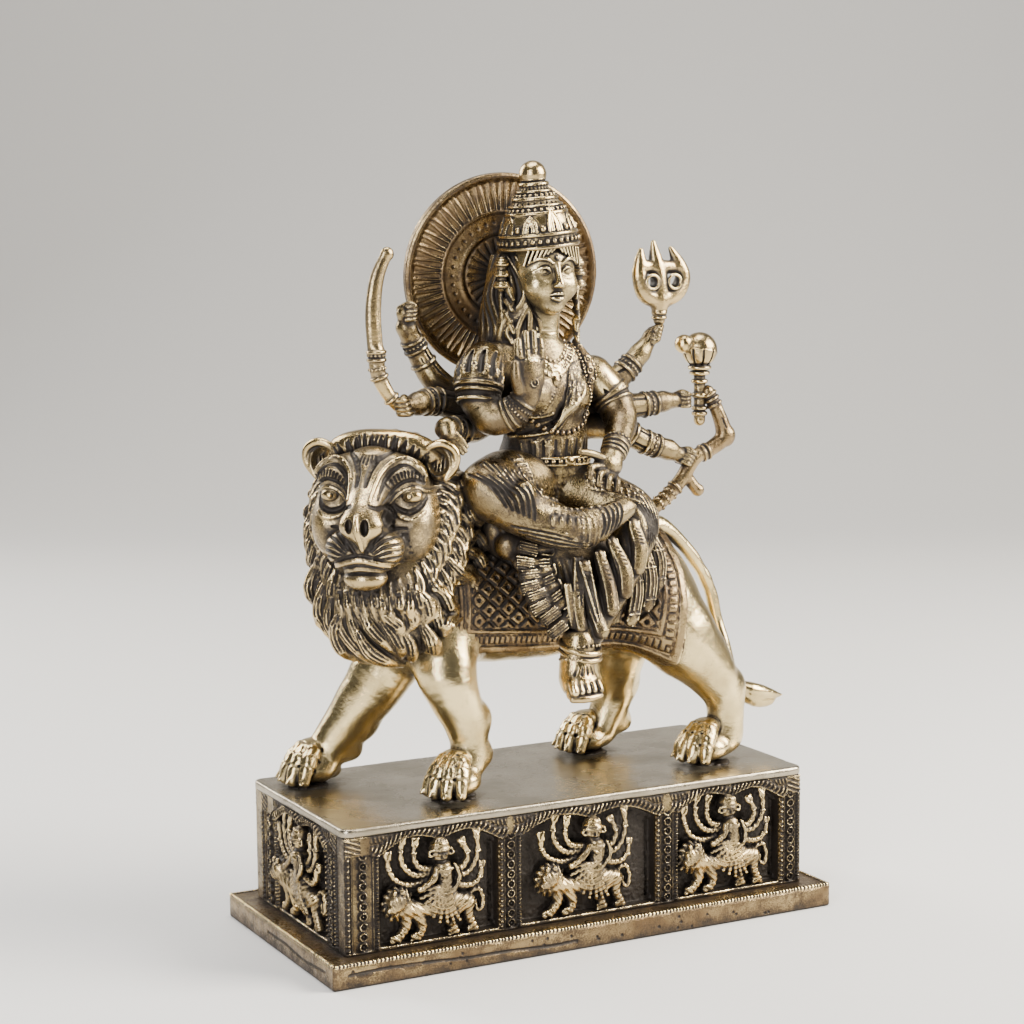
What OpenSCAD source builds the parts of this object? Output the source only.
// Cast brass deity on a walking lion, standing on a panelled plinth.
// X runs along the plinth, the figure faces -Y, and Z is up from the underside of the foot.

/* [Plinth] */
// Length of the deck
deck_l = 130; // [110:1:160]
// Width of the deck
deck_w = 57.7; // [50:0.1:75]
// Height from the underside of the foot to the top of the deck
plinth_h = 36.7; // [30:0.1:50]
// Thickness of the foot slab
foot_t = 5.9; // [4:0.1:9]
// How far the foot slab stands out past the deck on every side
foot_over = 5.1; // [2:0.1:10]
// Thickness of the deck plate
deck_t = 2.2; // [1.5:0.1:4]
// Thickness of the side panels
wall_t = 4.4; // [3.5:0.1:7]
// Depth of the niches in the panels
niche_d = 2.2; // [1:0.1:2.8]

/* [Figure] */
// Height of the figure from the deck to the top of the crown
figure_h = 154.5; // [120:0.5:200]

/* [Halo] */
// Radius of the halo
halo_r = 25.5; // [21:0.5:30]
// Number of petals round the halo
petals = 30; // [20:1:40]
// Lean of the halo, in degrees
halo_lean = 4.7; // [0:0.1:8]

/* [Crown] */
// Radius of the crown's lower band
crown_r = 11.6; // [10.6:0.1:13]
// Height of the crown without its ball
crown_h = 16; // [13:0.5:17.5]

/* [Hidden] */
BRASS = "#b8964a";
PATINA = "#6e5a32";
POLISH = "#d2b266";
panel_h = plinth_h - foot_t - deck_t;
nominal_h = 154.5;
figure_scale = figure_h / nominal_h;
// Sides of the balls that limbs are hulled from
$sides = 8;
// Where the lion's head sits and how far it is turned
head_at = [-43.5, -6.6, 63.3];
head_turn = -40;
// Where the crown and the halo sit
crown_at = [1.2, -4.5, 134];
crown_lean = -5.5;
halo_at = [-3, 8.2, 127.3];
halo_turn = 7.8;
// Niche edges along the front panel as fractions of half its length: [left, right]
front_niches = [[-0.86, -0.37], [-0.27, 0.318], [0.425, 0.898]];
end_niches = [[-0.56, 0.73]];

// A point and a radius on the smooth path through a list of [x, y, z, radius] stations
function station(list, i) = list[min(max(i, 0), len(list) - 1)];
function along(list, t) =
    let (i = min(floor(t), len(list) - 2), f = t - i,
         a = station(list, i - 1), b = station(list, i), c = station(list, i + 1), d = station(list, i + 2))
    0.5 * (2 * b + (c - a) * f + (2 * a - 5 * b + 4 * c - d) * f * f + (3 * b - a - 3 * c + d) * f * f * f);

module knob(s) {
    translate([s[0], s[1], s[2]]) sphere(r = s[3], $fn = $sides);
}

module limb(list, steps = 9) {
    for (k = [0 : steps - 1])
        hull() for (e = [0, 1]) knob(along(list, (k + e) * (len(list) - 1) / steps));
}

module egg(at, radii, sides = 12) {
    translate(at) scale(radii) sphere(r = 1, $fn = sides);
}

module on_deck() {
    translate([0, 0, plinth_h]) scale(figure_scale) children();
}

module above_deck(floor_z = 0) {
    intersection() {
        children();
        translate([-100, -60, floor_z]) cube([200, 120, 200]);
    }
}

// ---- Plinth ----

module foot_slab() {
    color(BRASS) difference() {
        translate([-deck_l / 2 - foot_over, -deck_w / 2 - foot_over, 0])
            cube([deck_l + 2 * foot_over, deck_w + 2 * foot_over, foot_t]);
        for (s = [-1, 1]) {
            translate([0, s * (deck_w / 2 + foot_over), foot_t]) rotate([45, 0, 0])
                cube([deck_l + 4 * foot_over, 0.8, 0.8], center = true);
            translate([s * (deck_l / 2 + foot_over), 0, foot_t]) rotate([0, 45, 0])
                cube([0.8, deck_w + 4 * foot_over, 0.8], center = true);
        }
    }
}

module deck_outline(inset, cut) {
    x = deck_l / 2 - inset;
    y = deck_w / 2 - inset;
    polygon([[-x + cut, -y], [x - cut, -y], [x, -y + cut], [x, y - cut],
             [x - cut, y], [-x + cut, y], [-x, y - cut], [-x, -y + cut]]);
}

module deck_plate() {
    color(POLISH) translate([0, 0, plinth_h - deck_t]) {
        linear_extrude(deck_t - 0.5) deck_outline(0, 2);
        translate([0, 0, deck_t - 0.5]) linear_extrude(0.5) deck_outline(0.5, 2);
    }
}

// A niche with a bracket-shaped head: two humps that meet in a small point at the middle
function niche_head(t) = 1.9 * abs(sin(360 * t)) + 1.5 * sin(180 * t);
module niche_outline(w, h) {
    steps = 16;
    head = [for (i = [0 : steps]) let (t = i / steps) [w / 2 - w * t, h - 3.4 + niche_head(t)]];
    polygon(concat([[-w / 2, 0], [w / 2, 0]], head));
}

// A panel that stands with its face at y = 0, facing -Y
module panel(l, niches) {
    half = l / 2;
    post_w = 5.4;
    slot_w = 1.7;
    difference() {
        translate([-half, 0, 0]) cube([l, wall_t, panel_h]);
        for (n = niches) {
            translate([(n[0] + n[1]) / 2 * half, niche_d, 1.2]) rotate([90, 0, 0])
                linear_extrude(niche_d + 1) niche_outline((n[1] - n[0]) * half, panel_h - 1.6);
            translate([n[1] * half - slot_w, 0, 2.4]) cube([slot_w, niche_d + 0.9, panel_h - 7]);
        }
    }
    for (n = niches, side = [0, 1]) {
        x = n[side] * half + (side == 0 ? -1 : 1) * (post_w / 2 + 0.2);
        if (abs(x) < half - 1.5)
            for (k = [0 : 6])
                translate([x, 0.2, 3 + k * (panel_h - 7) / 6]) rotate([90, 0, 0]) cylinder(r = 0.9, h = 0.55, $fn = 16);
    }
}

module front_panel() {
    color(PATINA) translate([0, -deck_w / 2 + 0.6, foot_t]) panel(deck_l - 1.2, front_niches);
}

module back_panel() {
    color(PATINA) rotate([0, 0, 180]) translate([0, -deck_w / 2 + 0.6, foot_t]) panel(deck_l - 1.2, front_niches);
}

module end_panel() {
    translate([-deck_l / 2 + 0.6, 0, foot_t]) rotate([0, 0, -90]) panel(deck_w - 1.2 - 2 * wall_t, end_niches);
}

module left_end_panel() {
    color(PATINA) end_panel();
}

module right_end_panel() {
    color(PATINA) rotate([0, 0, 180]) end_panel();
}

// A many-armed rider on a lion, in low relief, about 24 wide and 24 tall; it stands out towards -Y
module rider() {
    $sides = 6;
    intersection() {
        scale([1, 0.75, 1]) {
            hull() {
                knob([-8, -0.6, 8, 3]);
                knob([8.4, -0.2, 8.6, 2.8]);
            }
            hull() {
                knob([-9.6, -1.6, 10.2, 3.1]);
                knob([-12, -2, 8.6, 2]);
            }
            for (x = [-7, 7.4]) hull() {
                knob([x, -0.4, 7, 2]);
                knob([x - 2.4, -0.6, 1.4, 1.4]);
            }
            hull() {
                knob([1.6, -1.2, 11.5, 3]);
                knob([0.2, -2, 21.6, 2]);
            }
            for (side = [-1, 1], k = [0, 1]) hull() {
                knob([side * 2, -0.8, 14.6 + k, 1.1]);
                knob([side * (9.6 - 3 * k), -0.6, 18 + 3.8 * k, 1.3]);
            }
        }
        translate([-16, -4, 0.4]) cube([32, 4, 26]);
    }
}

module front_rider(i) {
    half = deck_l / 2 - 0.6;
    n = front_niches[i];
    translate([(n[0] + n[1]) / 2 * half - 0.4, -deck_w / 2 + 0.6 + niche_d, foot_t + 0.9]) rider();
}

module end_rider() {
    half = deck_w / 2 - 0.6 - wall_t;
    n = end_niches[0];
    translate([-deck_l / 2 + 0.6 + niche_d, 0, foot_t + 0.9]) rotate([0, 0, -90])
        translate([(n[0] + n[1]) / 2 * half - 0.4, 0, 0]) rider();
}

module front_left_rider() {
    color(BRASS) front_rider(0);
}

module front_middle_rider() {
    color(BRASS) front_rider(1);
}

module front_right_rider() {
    color(BRASS) front_rider(2);
}

module back_left_rider() {
    color(BRASS) rotate([0, 0, 180]) front_rider(0);
}

module back_middle_rider() {
    color(BRASS) rotate([0, 0, 180]) front_rider(1);
}

module back_right_rider() {
    color(BRASS) rotate([0, 0, 180]) front_rider(2);
}

module left_end_rider() {
    color(BRASS) end_rider();
}

module right_end_rider() {
    color(BRASS) rotate([0, 0, 180]) end_rider();
}

// ---- Lion ----

braze_t = 0.7;
paws = [[-27, -12.5], [-54.5, 16.2], [47.5, -12.8], [24.5, 13]];

module paw_braze() {
    color(PATINA) on_deck() for (p = paws) translate([p[0], p[1], 0]) cylinder(r = 4.6, h = braze_t, $fn = 32);
}

module lion_body_shape(grow = 0) {
    scale([1, 0.84, 1])
        limb([[-36, 0, 48, 13.6 + grow], [-26, 0, 46.8, 15.6 + grow], [-8, 0, 46.2, 16 + grow],
              [10, 0, 46.2, 16 + grow], [26, 0, 45.9, 16.1 + grow], [35.5, 0, 45.2, 16 + grow],
              [38.6, 0, 42.8, 14 + grow]], 9);
}

module lion_body() {
    color(BRASS) on_deck() lion_body_shape($sides = 12);
}

// A leg that ends in a paw: a pad, four toes fanned about the walking direction, and their claws
module leg(list, pad, heading) {
    toe_r = 1.9;
    above_deck(braze_t) {
        limb(list);
        for (k = [-1.5 : 1 : 1.5]) {
            a = heading + 19 * k;
            hull() {
                knob([pad[0], pad[1], 5.6, 4]);
                knob([pad[0] + 6.2 * cos(a), pad[1] + 6.2 * sin(a), 3.1, toe_r]);
            }
        }
    }
}

module lion_left_foreleg() {
    color(BRASS) on_deck() difference() {
        leg([[-26, -6, 44, 10], [-27.5, -9.5, 32, 8.4], [-24, -11, 20, 6.3], [-21.5, -11.3, 12.6, 5.3],
             [-24, -12, 6.4, 5.2]], [-26.4, -12.4], 215);
        lion_body_shape($sides = 12);
    }
}

module lion_right_foreleg() {
    color(BRASS) on_deck() difference() {
        leg([[-30, 5, 42, 10], [-36, 8.5, 29, 8.2], [-42, 12.5, 17.5, 6.2], [-47.5, 15.4, 10, 5.1],
             [-52, 16.2, 6.2, 5.1]], [-53.6, 16.3], 190);
        lion_body_shape($sides = 12);
    }
}

module lion_left_hindleg() {
    color(BRASS) on_deck() difference() {
        leg([[36, -6.5, 42, 13], [44, -10, 32, 10.6], [51, -11.5, 22.5, 7.4], [53.4, -12, 14.6, 5.2],
             [51.5, -12.5, 6.2, 5]], [47.5, -12.8], 195);
        lion_body_shape($sides = 12);
    }
}

module lion_right_hindleg() {
    color(BRASS) on_deck() difference() {
        leg([[33, 7, 41, 12], [32, 10, 29, 9], [33, 12.2, 18, 6.2], [33, 13, 11.5, 5.2],
             [29, 13, 6.2, 5]], [25, 13], 190);
        lion_body_shape($sides = 12);
    }
}

module lion_tail() {
    color(BRASS) on_deck() difference() {
        limb([[40, 0, 60.6, 3.4], [47, 0, 57, 2.9], [53, 0, 48.5, 2.3], [56.6, -1, 38, 2.1],
              [58.2, -2.4, 28.5, 2.2], [60, -3, 20, 2.6], [63.5, -3, 15, 3.1], [69, -3, 12.6, 3.3],
              [75.4, -3, 12, 1.1]], 14);
        lion_body_shape($sides = 12);
        limb([[44, -10, 32, 10.6], [51, -11.5, 22.5, 7.4], [53.4, -12, 14.6, 5.2]]);
    }
}

module at_head() {
    translate(head_at) rotate([0, 0, head_turn]) children();
}

module lion_head_shape() {
    at_head() {
        hull() {
            egg([0, 2, 6], [15.5, 14, 16.5], 12);
            egg([0, -3, -1], [14, 10, 12], 12);
        }
        hull() {
            egg([0, -8, 3], [9, 8, 8.5], 12);
            egg([-0.5, -17, 2.6], [7.6, 5.6, 6.4], 12);
        }
        hull() {
            egg([-0.6, -19, 6.6], [5.2, 3.6, 3.6], 10);
            egg([-0.4, -10, 12], [4.6, 6, 5], 10);
        }
        hull() {
            egg([-1, -14, -4.6], [5.4, 5, 3.6], 10);
            egg([-1, -6, -3], [7, 6, 5], 10);
        }
        for (s = [-1, 1]) {
            hull() {
                egg([s * 9.8, -8.6, 13], [3.9, 3.4, 3.1], 8);
                egg([s * 9.6, -5, 14], [5, 4, 5], 8);
            }
            hull() {
                egg([s * 4.6, -17, 0.4], [4.8, 4.4, 3.8], 8);
                egg([s * 7, -9, -1], [5, 5, 5], 8);
            }
        }
    }
}

module lion_head() {
    color(POLISH) on_deck() lion_head_shape();
}

module lion_ears() {
    color(POLISH) on_deck() difference() {
        at_head() for (s = [-1, 1]) difference() {
            for (k = [0 : 3]) hull() {
                egg([s * 14.6, -1, 17.5], [4.2, 2.6, 4.4], 8);
                egg([s * (14.8 + 0.8 * k), -0.6, 20 + 0.5 * k], [4.1 - 0.6 * k, 2.2, 4 - 0.5 * k], 8);
            }
            egg([s * 15.6, -3.4, 20.2], [2.6, 2.8, 2.9], 8);
        }
        lion_head_shape();
    }
}

module mane_shape() {
    at_head() {
        for (a = [0 : 45 : 315]) hull() {
            egg([13.4 * cos(a), 1, 18 * sin(a) - 2], [9.4, 8, 10], 8);
            egg([11 * cos(a), 12, 14 * sin(a) - 3], [10, 9, 12], 8);
        }
        hull() {
            egg([-8, 4, -14], [9, 9, 11], 8);
            egg([9, 4, -12], [9, 9, 11], 8);
            egg([0, 2, -22], [9, 7, 9.6], 8);
        }
    }
}

module lion_mane() {
    color(PATINA) on_deck() difference() {
        mane_shape();
        lion_head_shape();
        lion_body_shape($sides = 12);
        knee_clearance();
    }
}

// The rider's knee, which rests just behind the mane
module knee_clearance() {
    hull() {
        knob([-18.5, -14, 77, 8]);
        knob([-10, -9, 77.5, 9.4]);
    }
}

// ---- Saddle cloth ----

module cloth_outline() {
    polygon([[-27, 36], [30.6, 29.2], [30.6, 80], [-27, 80]]);
}

module saddle_cloth() {
    color(BRASS) on_deck() difference() {
        intersection() {
            lion_body_shape(grow = 1.7, $sides = 12);
            translate([0, 40, 0]) rotate([90, 0, 0]) linear_extrude(80) cloth_outline();
        }
        lion_body_shape($sides = 12);
        mane_shape();
    }
}

// ---- Rider: body, legs and dress ----

module torso_shape() {
    scale([1, 0.74, 1])
        limb([[1, -1, 71, 10.5], [3.4, -4, 78, 10], [5, -5.6, 84, 8.6], [3.6, -6.6, 91, 9.6],
              [1.4, -6.8, 98, 11], [0.6, -6.4, 103, 9.6]], 9);
    limb([[-14.6, -3.6, 104.6, 5], [-6, -3.8, 106, 6], [6, -4, 105, 6], [15.4, -4.6, 101.6, 4.8]], 6);
}

module seat_cut() {
    lion_body_shape(grow = 1.7, $sides = 12);
}

module torso() {
    color(BRASS) on_deck() difference() {
        torso_shape($sides = 12);
        seat_cut();
    }
}

module folded_leg_shape() {
    limb([[-4, -6.4, 75.6, 8.2], [-11, -9.8, 77, 8], [-18, -13.6, 76.6, 7.2]], 5);
    limb([[-18, -13.8, 76.4, 7.2], [-11, -19.6, 71.4, 6], [-1, -23.6, 65.4, 5.2], [8, -24.6, 65.6, 4.4],
          [14.6, -24, 69, 3.2]], 8);
}

module folded_leg() {
    color(BRASS) on_deck() difference() {
        folded_leg_shape($sides = 10);
        seat_cut();
        torso_shape($sides = 12);
    }
}

module hanging_leg_shape() {
    limb([[9, -4, 73, 8.8], [16, -10, 70, 7.8], [21, -16.6, 66, 6.6], [15.6, -19.4, 56, 6],
          [8, -21.4, 45, 5], [2, -23, 36.6, 4]], 11);
}

module hanging_leg() {
    color(BRASS) on_deck() difference() {
        hanging_leg_shape($sides = 10);
        seat_cut();
        torso_shape($sides = 12);
        folded_leg_shape($sides = 10);
    }
}

module pleated_skirt() {
    color(PATINA) on_deck() difference() {
        for (k = [0 : 7]) hull() {
            knob([-14 + 5 * k, -17.4, 60 - 0.4 * k, 3]);
            knob([-9.6 + 3.4 * k, -19, 47 - 1.2 * abs(k - 3), 2.6]);
            knob([-4 + 2.2 * k, -20, 41 - 0.6 * abs(k - 3), 2.2]);
        }
        seat_cut();
        hanging_leg_shape($sides = 10);
        folded_leg_shape($sides = 10);
    }
}

module hanging_foot() {
    color(BRASS) on_deck() difference() {
        union() {
            limb([[1.8, -23.2, 36, 3.7], [1.4, -24.6, 31, 3.9], [1, -26.6, 28, 3.6]], 4);
            for (k = [-2 : 2]) hull() {
                knob([1 + 1.2 * k, -25.6, 28.6, 2.6]);
                knob([1 + 1.75 * k, -29.2, 26.2 - 0.1 * k, 1.15]);
            }
        }
        hanging_leg_shape($sides = 10);
    }
}

module ring_at(at, tilt, major, minor) {
    translate(at) rotate(tilt) rotate_extrude($fn = 48) translate([major, 0]) circle(r = minor, $fn = 20);
}

module ankle_ring() {
    color(POLISH) on_deck() for (dz = [0, 1.9]) ring_at([1.9, -23.4, 35.4 - dz], [16, 6, 0], 4.5, 0.85);
}

// ---- Rider: head and ornaments ----

module face_and_neck_shape() {
    hull() {
        egg([1.4, -5.6, 129], [8.4, 8.4, 8.6], 16);
        egg([1.6, -8, 121.6], [4.6, 4.6, 4], 16);
    }
    limb([[1, -4.6, 106, 5.2], [1.2, -5, 112, 4.6], [1.4, -5, 120, 4.8]], 7);
}

module face_and_neck() {
    color(POLISH) on_deck() difference() {
        face_and_neck_shape();
        translate(crown_at) translate([-20, -20, 0]) cube([40, 40, 20]);
        torso_shape($sides = 12);
    }
}

module hair_shape() {
    limb([[0.6, -0.6, 130, 9.4], [-1, 0.8, 121, 9], [-3, 1, 112, 8.6], [-4, 1, 106, 6.4]], 8);
}

module hair_veil() {
    color(PATINA) on_deck() difference() {
        hair_shape($sides = 12);
        face_and_neck_shape();
        torso_shape($sides = 12);
        translate(crown_at) translate([-20, -20, 0]) cube([40, 40, 20]);
        halo_slab();
    }
}

// Everything at and behind the front face of the halo
module halo_slab() {
    at_halo() translate([-40, -1.3, -40]) cube([80, 30, 80]);
}

module crown() {
    r = crown_r;
    h = crown_h;
    color(POLISH) on_deck() translate(crown_at) rotate([0, crown_lean, 0]) rotate_extrude($fn = 64)
        polygon([[0, 0], [r - 0.6, 0], [r, 0.6], [r, 2.6], [r - 0.9, 3.2], [r - 1, 6.2], [r - 2.2, 7],
                 [r - 2, h * 0.52], [r - 3.3, h * 0.58], [r - 3.4, h * 0.7], [r - 4.6, h * 0.76],
                 [r - 4.6, h * 0.86], [r - 5.8, h * 0.9], [r - 6.4, h], [0, h]]);
}

module crown_ball() {
    color(POLISH) on_deck() translate(crown_at) rotate([0, crown_lean, 0]) translate([0, 0, crown_h + 2.2])
        difference() {
            sphere(r = 3.4, $fn = 48);
            translate([-5, -5, -7.2]) cube([10, 10, 5]);
        }
}

module earrings() {
    color(POLISH) on_deck() for (s = [-1, 1]) translate([1.2 + s * 10.6, -4.8, 124]) rotate([0, 0, s * 12]) {
        for (k = [0 : 2]) translate([0, 0, 2.6 * k]) cylinder(r = 2.5 - 0.3 * k, h = 1.7, $fn = 32);
        cylinder(r = 1.4, h = 7, $fn = 24);
    }
}

module necklace() {
    color(POLISH) on_deck() {
        ring_at([1.2, -7.4, 108.4], [28, 0, 0], 7, 1);
        ring_at([1.2, -8.4, 105], [40, 0, 0], 9, 0.9);
    }
}

module bead_garland() {
    path = [[-8, -9.4, 108, 1], [-9.4, -12.6, 100, 1], [-6, -14.6, 92, 1], [0, -14.8, 88, 1],
            [6, -14.4, 90, 1], [11, -12.8, 98, 1], [10.6, -9.6, 106, 1]];
    color(BRASS) on_deck() limb(path, 14);
}

module belt() {
    color(POLISH) on_deck() translate([4.6, -4.2, 81.4]) rotate_extrude($fn = 48)
        translate([8.8, -1.3]) square([1.3, 2.6]);
}

// ---- Rider: arms ----

module cuff(at, tilt, r) {
    translate(at) rotate(tilt) cylinder(r = r, h = 1.8, $fn = 12, center = true);
}

module arm(list, hand, fingers, steps = 8) {
    difference() {
        union() {
            limb(list, steps);
            for (f = fingers) hull() {
                knob(hand);
                knob(f);
            }
        }
        torso_shape($sides = 12);
    }
}

module raised_hand_arm() {
    color(BRASS) on_deck() arm([[-15.6, -4, 104.6, 5.6], [-18.4, -8, 98, 5.6], [-17.6, -13.4, 92, 4.8],
        [-12.8, -19, 97.6, 3.6]], [-11.8, -20.8, 103.6, 3],
        [for (k = [-1.5 : 1 : 1.5]) [-11 + 1.35 * k, -21, 112.6 - 0.7 * abs(k), 0.95]]);
}

module knee_hand_arm() {
    color(BRASS) on_deck() arm([[16, -4.8, 101.6, 5.4], [21, -6.4, 97, 5.2], [22.8, -10, 90, 4.6],
        [15, -17.6, 83, 3.4]], [11.4, -19.6, 80, 3.6],
        [[5.4, -22, 84, 1], [7, -23, 77.8, 1.5], [9.4, -23.6, 76, 1.5], [12.4, -23.4, 75.4, 1.4]]);
}

module upper_right_arm() {
    color(BRASS) on_deck() arm([[-10, 1, 101, 4.2], [-18, 3, 98, 3.8], [-24, 4, 102, 3.4],
        [-28.6, 4, 109, 2.8], [-32, 3, 115, 2.5]], [-33.6, 2, 118.8, 2.9],
        [[-27.4, 0, 121.4, 1.2], [-28, 0.4, 119.2, 1.2], [-29, 0.6, 117.4, 1.1]]);
}

module sword_arm() {
    color(BRASS) on_deck() arm([[-12, 1, 97, 4], [-20, -1, 95.4, 3.6], [-27, -2.4, 97, 3.2],
        [-32.6, -4.4, 96.8, 2.9]], [-36.4, -5.8, 96, 3.4],
        [[-39.6, -8, 98, 1.3], [-39.8, -8, 95.6, 1.3], [-39, -7.6, 93.4, 1.2]]);
}

module lower_right_arm() {
    color(BRASS) on_deck() arm([[-12, -1, 92, 4], [-18, -5, 90, 3.5], [-24, -9, 90.4, 3.1],
        [-28.6, -12, 91, 2.8]], [-28.6, -13.6, 89.4, 2.8],
        [[-22.6, -14.6, 85.2, 1.1], [-23.8, -16, 86.4, 1.1], [-24.4, -13, 85, 1.1]]);
}

module trident_arm() {
    color(BRASS) on_deck() arm([[16.6, 0, 98.4, 3.5], [21, 1, 98, 3.6], [27, 0, 101, 3.2], [33, 0, 106.6, 2.7]],
        [36.6, 0, 111, 3], [[39.4, -1.6, 113.6, 1.2], [37.6, -2.2, 114.4, 1.2], [39.6, 1.4, 112, 1.2]]);
}

module mace_arm() {
    color(BRASS) on_deck() arm([[13, 0, 93, 4], [24, -1, 93, 3.6], [32, -2, 93.4, 3.1], [38.6, -2, 94, 2.7]],
        [43.6, -2, 94.4, 2.9], [[47.6, -4.4, 95.6, 1.2], [47.4, -4.6, 93.4, 1.2], [46.6, -4.2, 91.4, 1.1]]);
}

module bow_arm() {
    color(BRASS) on_deck() arm([[14, -1, 89.4, 4], [24, -3, 88, 3.4], [32, -4, 84, 3], [39, -4, 81.6, 2.7]],
        [43.4, -4, 80, 3], [[46.6, -6.6, 81.4, 1.2], [46.8, -6.6, 79, 1.2], [46, -6.2, 77, 1.1]]);
}

// ---- Weapons ----

module sword() {
    color(POLISH) on_deck() {
        limb([[-41.6, -6, 133, 1.5], [-44, -6, 127, 1.9], [-45.4, -6, 119, 2], [-44.6, -6, 111, 2]], 8);
        limb([[-44.4, -6, 110, 2.6], [-43.6, -6, 104.6, 2.1], [-41.4, -6.2, 99.4, 1.9],
              [-38, -6.4, 96, 1.8]], 5);
    }
}

module trident() {
    t = 4.4;
    hole_r = 1.9;
    color(POLISH) on_deck() translate([38.6, t / 2, 126]) rotate([90, 0, 0]) linear_extrude(t) difference() {
        polygon([[-1.6, -11.6], [1.8, -11.6], [3.4, -8], [8.2, -4.4], [9.4, -0.6], [8.4, 2.6], [5.6, 4.6],
                 [3.2, 8.2], [0.8, 4.4], [-1.7, 9.8], [-3.6, 3.8], [-6, 7.4], [-7.4, 3.4], [-7.6, -1.6],
                 [-6.2, -4.8], [-3.2, -7.8]]);
        translate([-3.4, -0.6]) circle(r = hole_r, $fn = 32);
        translate([3.9, -0.2]) circle(r = hole_r, $fn = 32);
    }
}

module mace() {
    color(POLISH) on_deck() translate([49.8, -2, 0]) {
        translate([0, 0, 88]) cylinder(r = 1.5, h = 16, $fn = 32);
        for (z = [91, 94.6, 98.2]) translate([0, 0, z]) cylinder(r = 2.3, h = 1.6, $fn = 32);
        translate([0, 0, 101.8]) cylinder(r = 3, h = 1.4, $fn = 32);
        translate([0, 0, 107]) sphere(r = 4.7, $fn = 48);
        translate([-4.4, 0.6, 108.6]) sphere(r = 2.6, $fn = 32);
    }
}

module bow() {
    color(BRASS) on_deck() {
        limb([[51.6, -3, 96, 1.8], [54, -4, 91, 1.8], [56, -4, 84.4, 2.4], [51.6, -4, 81, 2],
              [47, -4, 79, 2.2], [43, -4, 73.6, 1.9], [38, -4, 69, 1.9], [33, -3, 65.4, 2.1],
              [30, -1.6, 62.4, 2.4]], 14);
        limb([[44, -4, 75, 1.8], [47.4, -4.4, 70.8, 1.8]], 2);
    }
}

// ---- Halo ----

module at_halo() {
    translate(halo_at) rotate([halo_lean, 0, -halo_turn]) children();
}

module halo() {
    groove_r = halo_r - 1.2;
    color(BRASS) on_deck() at_halo() rotate([90, 0, 0]) difference() {
        rotate_extrude($fn = 96)
            polygon([[0, -1.2], [halo_r - 0.6, -1.2], [halo_r, -0.6], [halo_r, 0.9], [halo_r - 0.5, 1.3],
                     [halo_r - 1.6, 1.3], [halo_r - 2, 0.9], [halo_r - 7.8, 0.5], [halo_r - 8.2, 0.9],
                     [halo_r - 9, 0.9], [halo_r - 9.4, 0.3], [halo_r - 14, 0.3], [halo_r - 14.4, 0.7],
                     [halo_r - 15.2, 0.7], [halo_r - 15.6, 0.2], [0, 0.2]]);
        for (k = [0 : petals - 1]) rotate([0, 0, k * 360 / petals])
            translate([groove_r - 5.6, -0.3, 0.2]) cube([4.4, 0.6, 2]);
    }
}

foot_slab();
deck_plate();
front_panel();
back_panel();
left_end_panel();
right_end_panel();
front_left_rider();
front_middle_rider();
front_right_rider();
back_left_rider();
back_middle_rider();
back_right_rider();
left_end_rider();
right_end_rider();
paw_braze();
lion_body();
lion_left_foreleg();
lion_right_foreleg();
lion_left_hindleg();
lion_right_hindleg();
lion_tail();
lion_mane();
lion_head();
lion_ears();
saddle_cloth();
torso();
folded_leg();
hanging_leg();
pleated_skirt();
hanging_foot();
ankle_ring();
face_and_neck();
hair_veil();
crown();
crown_ball();
earrings();
necklace();
bead_garland();
belt();
raised_hand_arm();
knee_hand_arm();
upper_right_arm();
sword_arm();
lower_right_arm();
trident_arm();
mace_arm();
bow_arm();
sword();
trident();
mace();
bow();
halo();
